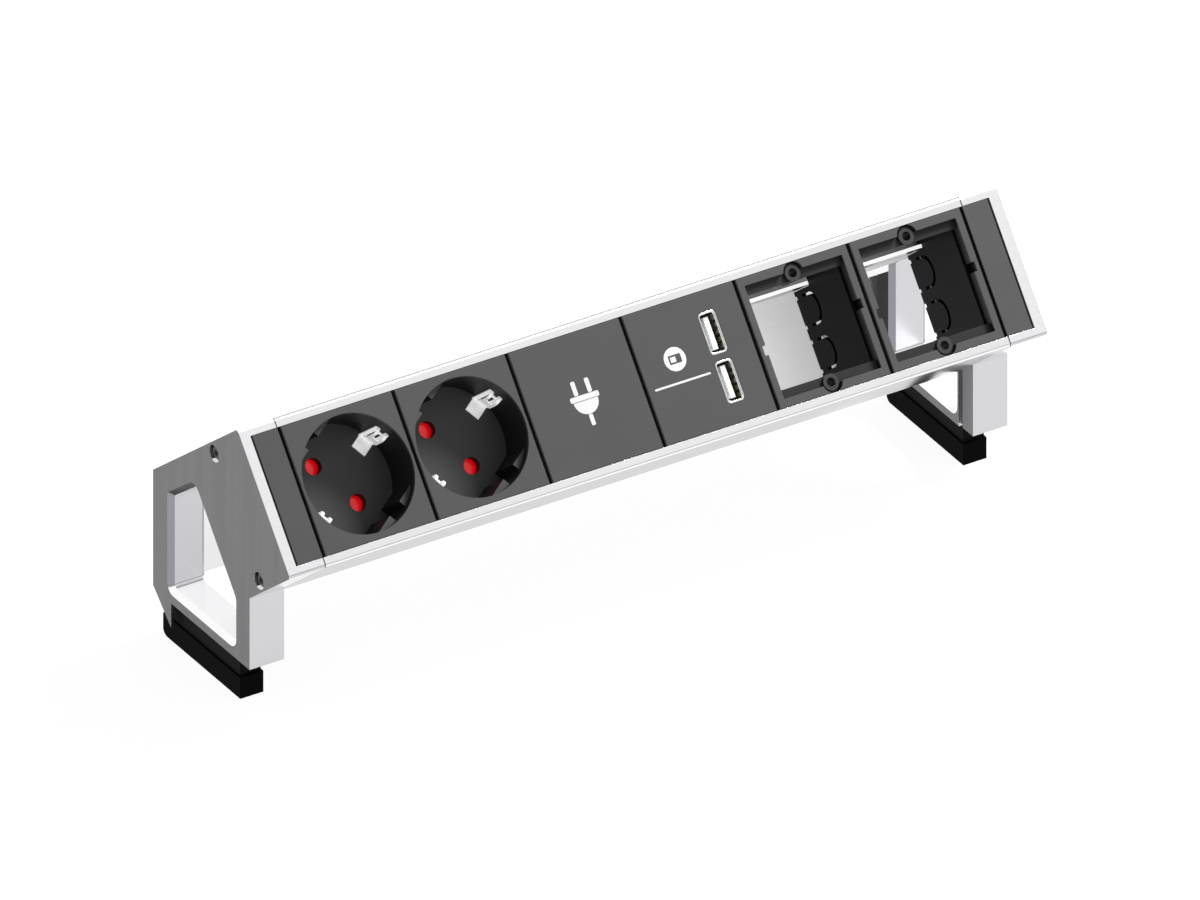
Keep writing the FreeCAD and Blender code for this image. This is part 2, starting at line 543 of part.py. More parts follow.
def usb_port(u):
    outer = rounded_block(PORT_X, u, SHELL_HALF[0], SHELL_HALF[1], 0, BOARD_FRONT, 1.3)
    hole = rounded_block(PORT_X, u, SHELL_HOLE[0], SHELL_HOLE[1], -1, BOARD_FRONT - 1, 0.9)
    return on_face(outer.cut(hole))


def usb_tongue(u):
    return on_face(block(PORT_X + TONGUE[0], PORT_X + TONGUE[1], u - 5.5, u + 5.5, 1.4, BOARD_FRONT - 1))


def usb_contacts():
    """Four spring strips on the face of each tongue."""
    side = PORT_X + TONGUE[1]
    return [on_face(block(side, side + 0.25, u + offset - 0.5, u + offset + 0.5, 2.2, BOARD_FRONT - 1))
            for u in PORT_PLACES.values() for offset in (-3.5, -1.2, 1.2, 3.5)]


def usb_case():
    outer = block(USB - 19.6, USB + 19.6, 6.2, FACE_HEIGHT - 6.2, FLANGE, CASE_BACK)
    inner = block(USB - 18.2, USB + 18.2, 7.6, FACE_HEIGHT - 7.6, FLANGE - 1, CASE_BACK - 1.4)
    return on_face(outer.cut(inner))


def usb_board():
    return on_face(block(USB - 17.5, USB + 17.5, 8.2, FACE_HEIGHT - 8.2, BOARD_FRONT, BOARD_BACK))


def usb_components():
    """Transformer, two capacitors and a controller on the back of the board."""
    back = BOARD_BACK
    return [on_face(piece) for piece in (
        block(USB - 15.0, USB - 2.0, 12.0, 26.0, back, back + 9.0),
        rod(USB - 9.0, 36.0, back, back + 9.0, 4.0),
        rod(USB + 3.0, 36.0, back, back + 8.0, 3.0),
        block(USB + 4.0, USB + 12.0, 14.0, 22.0, back, back + 1.2))]


save("usb_cover", usb_cover())
for name, port_u in PORT_PLACES.items():
    save(f"usb_port_{name}", usb_port(port_u))
    save(f"usb_tongue_{name}", usb_tongue(port_u))
save("usb_contacts", *usb_contacts())
save("usb_case", usb_case())
save("usb_board", usb_board())
save("usb_components", *usb_components())

# ---- empty frames for data modules ----
RAIL = 2.5                        # side rails of the frame
BAND = 6.3                        # front band reaches this far down the slope
LEDGE = 9.4                       # recessed ledge reaches this far
LEDGE_DEPTH = 2.2
BOSS_U = 6.95
KNOCK_OUT, KNOCK_OUT_DEPTH = 5.0, 31.0    # radius of a knock-out and depth of its middle
WALL_SHEET, WALL_PLACE = 1.5, PLATE_HALF - 2.4


def custom_frame(x):
    """Frame with a recessed ledge and a screw boss above and below the opening."""
    half = PLATE_HALF - RAIL
    shape = module_plate(x)
    cuts = [block(x - half, x + half, BAND, FACE_HEIGHT - BAND, -1, LEDGE_DEPTH),
            block(x - half, x + half, LEDGE, FACE_HEIGHT - LEDGE, -1, 9),
            block(x + half - 1, x + half + 1.2, 21.5, 24.8, -1, 9),
            block(x - half - 1.2, x - half + 1, FACE_HEIGHT - 24.8, FACE_HEIGHT - 21.5, -1, 9)]
    places = (BOSS_U, FACE_HEIGHT - BOSS_U)
    cuts += [rod(x, u, -1, LEDGE_DEPTH, 3.7) for u in places]
    shape = shape.cut(cuts)
    shape = shape.fuse([rod(x, u, 1.0, 9.0, 2.8) for u in places])
    shape = shape.cut([rod(x, u, 0, 10, 1.5) for u in places])
    return on_face(shape.removeSplitter())


def knock_out_slot(x0, x1, u):
    """D-shaped slot round a knock-out: round towards the front, open ends towards the back."""
    outer, inner, t = KNOCK_OUT + 0.5, KNOCK_OUT - 0.5, KNOCK_OUT_DEPTH
    ring = cross_rod(x0, x1, u, t, outer).cut(cross_rod(x0, x1, u, t + 0.6, inner))
    ring = ring.cut(block(x0, x1, u - 9, u + 9, t, t + 9))
    legs = [block(x0, x1, low, low + 0.95, t - 0.01, t + 4.6) for low in (u + outer - 0.95, u - outer)]
    return ring.fuse(legs)


def custom_wall(x, side):
    """Side wall behind a frame, with two knock-outs and small nicks in its rear edge."""
    x0 = x + side * WALL_PLACE - WALL_SHEET / 2
    x1 = x0 + WALL_SHEET
    shape = block(x0, x1, 6.0, FACE_HEIGHT - 6.0, FLANGE + 0.1, 40.7)
    cuts = [block(x0 - 1, x1 + 1, 5.0, SHELF_U[1] + 0.4, REAR_STEP, 42)]
    for u in (18.0, 33.0):
        cuts.append(knock_out_slot(x0 - 1, x1 + 1, u))
        for nick in (u - KNOCK_OUT, u + KNOCK_OUT):
            cuts.append(block(x0 - 1, x1 + 1, nick - 0.6, nick + 0.6, 39.6, 42))
    return on_face(shape.cut(cuts))


for number, centre in ((1, CUSTOM_1), (2, CUSTOM_2)):
    save(f"custom_{number}_frame", custom_frame(centre))
    save(f"custom_{number}_wall_left", custom_wall(centre, -1))
    save(f"custom_{number}_wall_right", custom_wall(centre, 1))


# ---- mains inlet and wiring ----
INLET_FRONT = 26.0
INLET_BACK = WALL_BACK + 1.8
INLET_PINS = (BLANK - 6.0, BLANK, BLANK + 6.0)


def inlet_body():
    half_x, half_u = INLET_HALF
    body = block(BLANK - half_x, BLANK + half_x, MID_U - half_u, MID_U + half_u, INLET_FRONT, INLET_BACK)
    flange = block(BLANK - half_x - 4, BLANK + half_x + 4, MID_U - half_u - 1.5, MID_U + half_u + 1.5,
                   WALL_BACK, INLET_BACK)
    recess = block(BLANK - half_x + 1.6, BLANK + half_x - 1.6, MID_U - half_u + 1.6, MID_U + half_u - 1.6,
                   INLET_FRONT + 4, INLET_BACK + 1)
    holes = [rod(x, u, 40, 50, 1.3) for x, u in INLET_SCREWS]
    holes += [rod(px, MID_U, 20, 50, 1.25) for px in INLET_PINS]
    return on_face(body.fuse(flange).cut([recess] + holes).removeSplitter())


def inlet_pins():
    return [on_face(rod(px, MID_U, INLET_FRONT - 2, INLET_BACK - 2.5, 1.2)) for px in INLET_PINS]


def inlet_screws():
    return [on_face(rod(x, u, 38.0, INLET_BACK + 0.4, 1.2).fuse(
        rod(x, u, INLET_BACK, INLET_BACK + 1.6, 2.2)).removeSplitter()) for x, u in INLET_SCREWS]


def earth_bond_screw():
    shank = rod(0, MID_U, CHAMBER_DEPTH - 3.6, WALL_BACK + 4.0, 2.0)
    head = rod(0, MID_U, CHAMBER_DEPTH - 3.6, CHAMBER_DEPTH, 3.6)
    nut = rod(0, MID_U, WALL_BACK, WALL_BACK + 2.4, 3.6)
    return on_face(shank.fuse([head, nut]).removeSplitter())


def jumper(start, end, u):
    """Wire along the lane from (x, depth) to (x, depth). An end with no depth stops in the lane."""
    bend = 2.0
    slack = bend * (1 - math.sqrt(0.5))       # distance of the middle of a bend from its tangents
    legs = []
    for (x, depth), towards in ((start, end[0] - start[0]), (end, start[0] - end[0])):
        side = math.copysign(1, towards)
        if depth is None:
            legs.append([Vector(x, -u, -WIRE_LANE)])
        else:
            legs.append([Vector(x, -u, -depth), Vector(x, -u, -(WIRE_LANE - bend)),
                         Vector(x + side * slack, -u, -(WIRE_LANE - slack)),
                         Vector(x + side * bend, -u, -WIRE_LANE)])
    first, last = legs[0], legs[1][::-1]
    edges = []
    if len(first) == 4:
        edges += [Part.makeLine(first[0], first[1]), Part.Arc(first[1], first[2], first[3]).toShape()]
    edges.append(Part.makeLine(first[-1], last[0]))
    if len(last) == 4:
        edges += [Part.Arc(last[0], last[1], last[2]).toShape(), Part.makeLine(last[2], last[3])]
    tangent = edges[0].tangentAt(edges[0].FirstParameter)
    ring = Part.Wire(Part.makeCircle(WIRE_RADIUS, first[0], tangent))
    return on_face(Part.Wire(edges).makePipeShell([ring], True, False))


clamp_depth = TERMINAL_BACK
clip_depth = BASE_BACK + 0.2 + CLIP_SHEET
inlet_left, inlet_right = BLANK - INLET_HALF[0], BLANK + INLET_HALF[0]
near, far = WIRES_X
save("line_wires",
     jumper((SOCKET_1 + far, clamp_depth), (SOCKET_2 + near, clamp_depth), MID_U + WIRE_U),
     jumper((SOCKET_2 + far, clamp_depth), (inlet_left, None), MID_U + WIRE_U),
     jumper((inlet_right, None), (USB - 9.0, CASE_BACK), MID_U + WIRE_U))
save("neutral_wires",
     jumper((SOCKET_1 - near, clamp_depth), (SOCKET_2 - far, clamp_depth), MID_U - WIRE_U),
     jumper((SOCKET_2 - near, clamp_depth), (inlet_left, None), MID_U - WIRE_U),
     jumper((inlet_right, None), (USB - 9.0, CASE_BACK), MID_U - WIRE_U))
save("earth_wires",
     jumper((SOCKET_1 + 1.8, clip_depth), (SOCKET_2 - 1.8, clip_depth), MID_U),
     jumper((SOCKET_2 + 1.8, clip_depth), (inlet_left, None), MID_U),
     jumper((inlet_right, None), (-3.6, None), MID_U))
save("mains_inlet_body", inlet_body())
save("mains_inlet_pins", *inlet_pins())
save("mains_inlet_screws", *inlet_screws())
save("earth_bond_screw", earth_bond_screw())
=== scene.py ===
import json
import math

import bmesh
import bpy
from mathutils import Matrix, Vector


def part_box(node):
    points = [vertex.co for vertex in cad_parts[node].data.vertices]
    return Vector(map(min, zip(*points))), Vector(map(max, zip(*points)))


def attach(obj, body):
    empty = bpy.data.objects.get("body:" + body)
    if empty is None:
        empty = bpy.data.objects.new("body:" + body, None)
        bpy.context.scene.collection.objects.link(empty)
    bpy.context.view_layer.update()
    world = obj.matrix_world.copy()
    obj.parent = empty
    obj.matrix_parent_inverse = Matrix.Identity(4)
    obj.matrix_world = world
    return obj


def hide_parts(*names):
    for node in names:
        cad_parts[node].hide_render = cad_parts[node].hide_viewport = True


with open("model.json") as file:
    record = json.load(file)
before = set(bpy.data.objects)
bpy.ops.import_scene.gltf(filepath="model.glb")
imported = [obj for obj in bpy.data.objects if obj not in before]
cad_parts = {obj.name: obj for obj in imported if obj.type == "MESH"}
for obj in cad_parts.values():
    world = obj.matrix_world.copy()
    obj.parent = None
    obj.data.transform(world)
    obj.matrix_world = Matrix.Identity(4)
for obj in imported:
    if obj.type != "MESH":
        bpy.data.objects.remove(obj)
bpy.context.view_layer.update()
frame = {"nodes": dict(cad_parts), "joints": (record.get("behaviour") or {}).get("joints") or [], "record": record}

# ---------------------------------------------------------------------------------------------------
# The profile. One aluminium extrusion, drawn through a die, so its skin has fine lines along the
# strip. It is anodised a bright natural silver, and its front rims hold every module plate.
# ---------------------------------------------------------------------------------------------------
MM = 0.001
PROFILE_SILVER = (0.84, 0.84, 0.852, 1.0)
PROFILE_ROUGHNESS = 0.2
DRAW_LINES, DRAW_CLOUDS = (6.0, 2600.0, 2600.0), (30.0, 60.0, 60.0)    # noise cells per metre
DRAW_LINE_DEPTH = 0.005 * MM
SHINE_LEAN = 0.12                                          # turns the rims' shine towards the face
SQUARE_ON = 0.9                                            # cosine from which a surface faces a way
CHAMBER_START = 20 * MM                                    # the chamber's inner faces are deeper
SHELF_DEPTH, SHELF_UP = 30 * MM, 15.4 * MM                 # front of the shelf rib and its lower side
CHAMBER_PAINTED_LIGHT, SHELF_PAINTED_LIGHT = 0.45, 0.85                      # painted light on the chamber's walls and on the shelf rib
# Painted shade on the profile's underside.
UNDERSIDE_PAINTED_SHADE = 0.62
TOP_START, TOP_PAINTED_LIGHT = 0.4, 0.22                            # painted light from above on the top wall
OUT = Vector(frame["joints"][0]["axis"]).normalized()      # square to the module face
UP = Vector((0, OUT.z, -OUT.y))                            # up its slope
MOUNTS = {mount["name"]: mount for mount in frame["record"]["mounts"]}
FACE_POINT = Vector(MOUNTS["socket_1"]["pos_m"])           # on the middle line of the face


class Field:
    """A shader socket that takes Python arithmetic. Each operation adds one Math node."""

    def __init__(self, finish, socket):
        self.finish, self.socket = finish, socket

    def _math(self, operation, first, second):
        return self.finish.node("Math", {"operation": operation}, {0: first, 1: second})

    def __add__(self, other):
        return self._math("ADD", self, other)

    def __radd__(self, other):
        return self._math("ADD", other, self)

    def __sub__(self, other):
        return self._math("SUBTRACT", self, other)

    def __rsub__(self, other):
        return self._math("SUBTRACT", other, self)

    def __mul__(self, other):
        return self._math("MULTIPLY", self, other)

    def __rmul__(self, other):
        return self._math("MULTIPLY", other, self)

    def __gt__(self, other):
        return self._math("GREATER_THAN", self, other)

    def __lt__(self, other):
        return self._math("LESS_THAN", self, other)


class Finish:
    """A material under construction. place is the object position in metres."""

    def __init__(self, name, metallic=0.0, roughness=0.5, coat=0.0, specular=0.5):
        self.material = bpy.data.materials.new(name)
        self.material.use_nodes = True
        self.tree = self.material.node_tree
        self.shader = self.tree.nodes["Principled BSDF"]
        self.shader.inputs["Metallic"].default_value = metallic
        self.shader.inputs["Roughness"].default_value = roughness
        self.shader.inputs["Coat Weight"].default_value = coat
        self.shader.inputs["Specular IOR Level"].default_value = specular
        self.place = self.node("TexCoord", {}, {}, "Object")

    def node(self, kind, settings, sockets, output=0):
        """Adds a node, sets its settings, then fills its sockets with values or links."""
        made = self.tree.nodes.new("ShaderNode" + kind)
        for name, value in settings.items():
            setattr(made, name, value)
        for name, value in sockets.items():
            if isinstance(value, Field):
                self.tree.links.new(value.socket, made.inputs[name])
            else:
                made.inputs[name].default_value = value
        return Field(self, made.outputs[output])

    def feed(self, name, field):
        self.tree.links.new(field.socket, self.shader.inputs[name])
        return self

    def glow(self, colour, strength=1.0):
        """Light that the surface gives out beyond its gloss. On anything but the floor it is painted light."""
        self.shader.inputs["Emission Strength"].default_value = strength
        return self.feed("Emission Color", colour)

    def noise(self, cells, detail=2.0, roughness=0.5):
        """Noise from 0 to 1. cells is per metre, one number or one each for x, y and z."""
        stretch = cells if isinstance(cells, tuple) else (cells, cells, cells)
        place = self.node("Mapping", {}, {"Vector": self.place, "Scale": stretch})
        return self.node("TexNoise", {}, {"Vector": place, "Scale": 1.0, "Detail": detail,
                                          "Roughness": roughness}, "Fac")

    def component(self, vector, way):
        return self.node("VectorMath", {"operation": "DOT_PRODUCT"}, {0: vector, 1: tuple(way)}, "Value")

    def along(self, way):
        """Distance of the point from the origin along a way."""
        return self.component(self.place, way)

    def facing(self, way):
        """Cosine between the surface's normal and a way."""
        return self.component(self.node("NewGeometry", {}, {}, "Normal"), way)

    def either_side(self, field):
        return self.node("Math", {"operation": "ABSOLUTE"}, {0: field})

    def blend(self, factor, first, second):
        """Colour that goes from first at factor 0 to second at factor 1."""
        return self.node("Mix", {"data_type": "RGBA"}, {0: factor, 6: first, 7: second}, 2)

    def relief(self, height, depth, strength=1.0, edge=0.25 * MM, lean=Vector()):
        """Bump of a depth on edges softened by a radius, with its shine tilted by lean."""
        soft = self.node("Bevel", {"samples": 4}, {"Radius": edge})
        if lean.length > 0:
            soft = self.node("VectorMath", {"operation": "ADD"}, {0: soft, 1: tuple(lean)})
            soft = self.node("VectorMath", {"operation": "NORMALIZE"}, {0: soft})
        bump = self.node("Bump", {}, {"Height": height, "Distance": depth, "Strength": strength,
                                      "Normal": soft})
        return self.feed("Normal", bump)


def shade(tone, factor):
    """The same colour made lighter or darker."""
    return tuple(channel * factor for channel in tone[:3]) + (1.0,)


def dress(node, material):
    """Gives a CAD node its finish."""
    slots = frame["nodes"][node].data.materials
    slots.clear()
    slots.append(material)


def drawn_aluminium(name, tone, roughness):
    """Anodised extrusion: lines along x and a faint grain. The deep chamber is satin with painted light on its
    walls; the underside carries painted shade and the top wall painted light.
    """
    finish = Finish(name, metallic=1.0, roughness=roughness)
    lines = finish.noise(DRAW_LINES, detail=3.0, roughness=0.6)
    cloud = finish.noise(DRAW_CLOUDS)
    depth = FACE_POINT.dot(OUT) - finish.along(OUT)
    chamber = (finish.facing(OUT) > SQUARE_ON) * (depth > CHAMBER_START)
    shelf = depth < SHELF_DEPTH
    wall = (finish.along(UP) < FACE_POINT.dot(UP) + SHELF_UP) * (1 - shelf)
    # Painted light: the chamber's walls and shelf rib glow, so they look lit deep inside.
    painted_chamber_light = chamber * (shelf * SHELF_PAINTED_LIGHT + wall * CHAMBER_PAINTED_LIGHT) * (0.9 + lines * 0.2)
    skin = finish.blend(lines * 0.6 + cloud * 0.4, shade(tone, 0.94), shade(tone, 1.04))
    # Painted shade: faces that look down get a darker colour.
    painted_shade_underside = finish.facing(UP) < -SQUARE_ON
    finish.feed("Base Color", finish.blend(painted_shade_underside, skin, shade(tone, UNDERSIDE_PAINTED_SHADE)))
    # Painted light: faces turned up glow as if lit from above.
    finish.glow(painted_chamber_light + (finish.facing(UP) > TOP_START) * TOP_PAINTED_LIGHT)
    finish.feed("Roughness", lines * 0.12 + cloud * 0.06 + chamber * 0.3 + (roughness - 0.09))
    return finish.relief(lines, DRAW_LINE_DEPTH, 0.5, 0.1 * MM, OUT * SHINE_LEAN).material


dress("housing_profile", drawn_aluminium("anodised_extrusion", PROFILE_SILVER, PROFILE_ROUGHNESS))

# ---------------------------------------------------------------------------------------------------
# The end caps. Each is one aluminium casting with its windowed leg. The flat sides are linished with
# an upright grain and carry painted shade; the front and the bevels carry painted shade too, the inner
# side behind the window the deepest. The rims and the window's sill are bright anodised metal, and
# the sill carries painted light.
# ---------------------------------------------------------------------------------------------------
CAP_BRIGHT = (0.84, 0.84, 0.855, 1.0)
# Painted shade: the flat sides' tone, much darker than the bright metal.
CAP_SIDE_PAINTED_SHADE = (0.205, 0.205, 0.21, 1.0)
# Painted shade on bevels that do not look up.
CAP_BEVEL_PAINTED_SHADE = (0.3, 0.3, 0.32, 1.0)
# Painted shade on faces that look to the front.
CAP_FRONT_PAINTED_SHADE = (0.58, 0.58, 0.6, 1.0)
SIDE_GRAIN, SIDE_CLOUDS, CAST_GRAIN = (2400.0, 2400.0, 26.0), (200.0, 260.0, 9.0), 900.0
SIDE_DARK, SIDE_LIGHT = 0.72, 1.32
# The deepest painted shade: on the inner side behind the window and on bevels that look down.
DEEP_PAINTED_SHADE = 0.1
REAR_Y, INNER_X = 31 * MM, 131 * MM                        # inner side, behind the window
SLANT_START = 0.5                                          # cosine to x from which a face is a bevel
BEVEL_TOP, SOFFIT, SILL = 0.3, -0.4, 0.4                   # how far a bevel looks up
SILL_PAINTED_LIGHT, SILL_DULL = 0.58, 0.65                          # painted light on the window's sill, and how much less metallic the sill is
SIDE_DULL = 0.35
RIGHT, BACK, SKY = Vector((1, 0, 0)), Vector((0, 1, 0)), Vector((0, 0, 1))


def cap_metal():
    finish = Finish("linished_cap", metallic=1.0, roughness=0.24)
    sideways = finish.either_side(finish.facing(RIGHT))
    upwards = finish.facing(SKY)
    flat = sideways > SQUARE_ON
    slanted = (sideways > SLANT_START) * (sideways < SQUARE_ON)
    front = finish.facing(BACK) < -SQUARE_ON
    sill = (upwards > SQUARE_ON) + slanted * (upwards > SILL)
    # Painted shade inside: the inner side behind the window is made nearly black.
    painted_shade_inside = (finish.along(BACK) > REAR_Y) * (finish.either_side(finish.along(RIGHT)) < INNER_X)
    grain = finish.noise(SIDE_GRAIN, detail=4.0, roughness=0.7)
    cloud = finish.noise(SIDE_CLOUDS)
    fine = finish.noise(CAST_GRAIN, detail=3.0)
    # The linished grain is real; its dark base tone is painted shade.
    linished = finish.blend(grain * 0.55 + cloud * 0.45,
                            shade(CAP_SIDE_PAINTED_SHADE, SIDE_DARK), shade(CAP_SIDE_PAINTED_SHADE, SIDE_LIGHT))
    side = finish.blend(painted_shade_inside, linished, shade(CAP_SIDE_PAINTED_SHADE, DEEP_PAINTED_SHADE))
    bright = finish.blend(fine, shade(CAP_BRIGHT, 0.96), shade(CAP_BRIGHT, 1.03))
    # Painted shade: front faces are darker than the rims.
    bright = finish.blend(front, bright, CAP_FRONT_PAINTED_SHADE)
    # Painted shade: bevels that do not look up are darker, and those that look down darker still.
    edged = finish.blend(slanted * (upwards < BEVEL_TOP), bright, CAP_BEVEL_PAINTED_SHADE)
    edged = finish.blend(slanted * (upwards < SOFFIT), edged, shade(CAP_BEVEL_PAINTED_SHADE, DEEP_PAINTED_SHADE))
    finish.feed("Base Color", finish.blend(flat, edged, side))
    # Painted light: the sill glows.
    finish.glow(sill * SILL_PAINTED_LIGHT)
    finish.feed("Roughness", flat * (0.2 + grain * 0.16) + (0.18 + fine * 0.1))
    finish.feed("Metallic", 1.0 - flat * SIDE_DULL - sill * SILL_DULL)
    return finish.relief(flat * grain + (1 - flat) * fine * 0.4, 0.03 * MM, 0.6).material


cap_finish = cap_metal()
for side in ("left", "right"):
    dress(f"end_cap_{side}", cap_finish)

# ---------------------------------------------------------------------------------------------------
# The end panels. They fill the front openings of the caps and are injection moulded in dark grey
# with a fine spark-eroded texture, like the plates and frames, and pressed in on pegs.
# ---------------------------------------------------------------------------------------------------
PLATE_GREY = (0.076, 0.076, 0.077, 1.0)
RECESS_START, RECESS_BLEND = 0.4, 1.0 * MM                 # depth where the texture ends
LEVEL_START = 0.8                                          # cosine of a surface level with the face
FLOW_CELLS = 45.0


def moulded(name, tone, roughness=0.5, grain=0.28, depth=0.03, edge=0.2, specular=0.2,
            recess=1.0, wall=1.0):
    """Textured moulding. grain is the size of the texture and depth its height, in millimetres.

    Behind the face the tool is polished and not sparked, and there the colour is darkened as painted
    shade: recess is the share of the tone kept on surfaces that lie level with the face, and wall on
    those that stand square to it.
    """
    finish = Finish(name, roughness=roughness, specular=specular)
    texture = finish.noise(1.0 / (grain * MM), roughness=0.6)
    flow = finish.noise(FLOW_CELLS)
    behind = (FACE_POINT.dot(OUT) - finish.along(OUT)) * (1.0 / RECESS_BLEND)
    inside = finish.node("Clamp", {}, {"Value": behind - RECESS_START})
    level = finish.facing(OUT) > LEVEL_START
    open_face = finish.blend(texture * 0.5 + flow * 0.5, shade(tone, 0.9), shade(tone, 1.1))
    # Painted shade behind the face, set by recess and wall.
    painted_shade_share = recess * level + wall * (1 - level)
    polished_painted_shade = finish.blend(painted_shade_share * (0.9 + flow * 0.2), (0.0, 0.0, 0.0, 1.0), tone)
    finish.feed("Base Color", finish.blend(inside, open_face, polished_painted_shade))
    finish.feed("Roughness", texture * 0.14 + flow * 0.08 + (roughness - 0.11))
    return finish.relief(texture, depth * MM, 0.6, edge * MM).material


panel_finish = moulded("panel_grey", PLATE_GREY)
for side in ("left", "right"):
    dress(f"end_panel_{side}", panel_finish)

# ---------------------------------------------------------------------------------------------------
# The feet. A black nylon rail is screwed under each leg and a black rubber pad is pressed onto it.
# The rubber has the satin skin of its mould.
# ---------------------------------------------------------------------------------------------------
RAIL_BLACK = (0.005, 0.005, 0.005, 1.0)
RUBBER_BLACK = (0.003, 0.003, 0.003, 1.0)
rail_finish = moulded("rail_black", RAIL_BLACK, 0.42, 0.3, 0.02, specular=0.02)
rubber_finish = moulded("pad_rubber", RUBBER_BLACK, 0.5, 0.5, 0.04, edge=0.5, specular=0.01)
for side in ("left", "right"):
    dress(f"foot_rail_{side}", rail_finish)
    dress(f"foot_pad_{side}", rubber_finish)

# ---------------------------------------------------------------------------------------------------
# The spacers. Thin black plastic strips between the modules, held by the rims of the profile. They
# stand a little below the plates and close the gaps.
# ---------------------------------------------------------------------------------------------------
SPACER_BLACK = (0.002, 0.002, 0.002, 1.0)
spacer_finish = moulded("spacer_black", SPACER_BLACK, 0.55, 0.3, 0.02, edge=0.1, specular=0.05)
for number in range(1, 8):
    dress(f"module_spacer_{number}", spacer_finish)

# ---------------------------------------------------------------------------------------------------
# The earthed sockets. Each plate and its cup are one dark moulding. Behind the floor of the cup a
# red shutter turns on a spindle, and a white base carries the brass contacts and their screws.
# ---------------------------------------------------------------------------------------------------
# Painted shade: the cup's walls are darkened, while its floor keeps the full tone.
CUP_FLOOR, CUP_WALL_PAINTED_SHADE = 1.0, 0.2
# The shutter's glow is painted light.
SHUTTER_RED, SHUTTER_PAINTED_LIGHT = (0.88, 0.0, 0.006, 1.0), 0.42
BASE_WHITE = (0.62, 0.62, 0.58, 1.0)
BRASS, ZINC, SPRING_STEEL = (0.78, 0.58, 0.24, 1.0), (0.6, 0.6, 0.62, 1.0), (0.5, 0.5, 0.52, 1.0)
ROLLING = (500.0, 3200.0, 500.0)                           # cells of a rolled sheet's grain


def gloss_plastic(name, tone, roughness=0.22, coat=0.4, glow=0.0):
    """Polished moulding. glow is painted light: the part gives out its own colour, so it looks lit."""
    finish = Finish(name, roughness=roughness, coat=coat)
    flow = finish.noise(300.0)
    colour = finish.blend(flow, shade(tone, 0.92), shade(tone, 1.06))
    finish.feed("Base Color", colour).glow(colour, glow)
    finish.feed("Roughness", flow * 0.1 + (roughness - 0.05))
    return finish.relief(flow, 0.02 * MM, 0.3, 0.15 * MM).material


def plated(name, tone, roughness=0.18, wear=0.12):
    """Plated or bare metal with a faint rolling grain and small worn spots."""
    finish = Finish(name, metallic=1.0, roughness=roughness)
    rolled = finish.noise(ROLLING, detail=3.0)
    spots = finish.noise(700.0, detail=4.0, roughness=0.7)
    colour = finish.blend(rolled * 0.5 + spots * 0.5, shade(tone, 1.0 - wear), shade(tone, 1.04))
    finish.feed("Base Color", colour)
    finish.feed("Roughness", spots * 0.16 + (roughness - 0.06))
    return finish.relief(rolled, 0.01 * MM, 0.4, 0.1 * MM).material


brass_finish = plated("contact_brass", BRASS, 0.25)
steel_finish = plated("screw_zinc", ZINC, 0.3)
socket_finishes = {
    "faceplate": moulded("socket_grey", PLATE_GREY, recess=CUP_FLOOR, wall=CUP_WALL_PAINTED_SHADE),
    "shutter": gloss_plastic("shutter_red", SHUTTER_RED, coat=0.05, glow=SHUTTER_PAINTED_LIGHT),
    "shutter_spring": plated("spring_wire", SPRING_STEEL, 0.3),
    "contact_base": moulded("base_white", BASE_WHITE, 0.45, 0.3, 0.02, specular=0.4),
    "line_contact": brass_finish,
    "neutral_contact": brass_finish,
    "terminal_screws": steel_finish,
    "base_screws": steel_finish,
}
for number in (1, 2):
    for part, material in socket_finishes.items():
        dress(f"socket_{number}_{part}", material)

# ---------------------------------------------------------------------------------------------------
# The earth clips. One strip of nickel-plated spring sheet is bent up through the floor of the cup on
# both sides. Each arm has a window, folds over at the top and springs back towards the plug.
# ---------------------------------------------------------------------------------------------------
NICKEL_DARK, NICKEL_LIGHT = (0.86, 0.86, 0.87, 1.0), (0.98, 0.98, 0.98, 1.0)
NICKEL_PAINTED_LIGHT = 0.35                                         # painted light standing for the light the cup throws onto the clip


def nickel_sheet():
    finish = Finish("clip_nickel", metallic=0.3, roughness=0.35)
    rolled = finish.noise(ROLLING, detail=3.0)
    colour = finish.blend(rolled, NICKEL_DARK, NICKEL_LIGHT)
    finish.feed("Base Color", colour).glow(colour, NICKEL_PAINTED_LIGHT)
    finish.feed("Roughness", rolled * 0.14 + 0.28)
    return finish.relief(rolled, 0.01 * MM, 0.4, 0.12 * MM).material


clip_finish = nickel_sheet()
for number in (1, 2):
    dress(f"socket_{number}_earth_clip", clip_finish)

# ---------------------------------------------------------------------------------------------------
# The blank cover and its printed mark. The cover closes an unused place. A plain plug pictogram is
# pad printed on it in white ink.
# ---------------------------------------------------------------------------------------------------
INK_HEIGHT, INK_SINK = 0.03 * MM, 0.002 * MM
INK_DARK, INK_LIGHT = (0.62, 0.62, 0.62, 1.0), (0.82, 0.82, 0.82, 1.0)
# Bars of the plug as (x, up, half width, half height, corner radius), in millimetres.
PLUG_PINS = ((-2.6, 4.6, 0.8, 2.4, 0.5), (2.6, 4.6, 0.8, 2.4, 0.5))
PLUG_COLLAR = (0, 1.1, 5.4, 0.9, 0.5)
PLUG_LEAD = (0, -6.6, 0.75, 1.9, 0.4)
PLUG_RADIUS = 4.6


def on_face(x, up, depth):
    """Point of the module face: up its slope from the middle line and depth behind it."""
    return Vector((x, FACE_POINT.y, FACE_POINT.z)) + UP * up - OUT * depth


def middle_x(node):
    return sum(corner.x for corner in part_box(node)) / 2


def put(name, data):
    """Puts an object with this data in the scene, at the origin."""
    made = bpy.data.objects.new(name, data)
    bpy.context.scene.collection.objects.link(made)
    return made


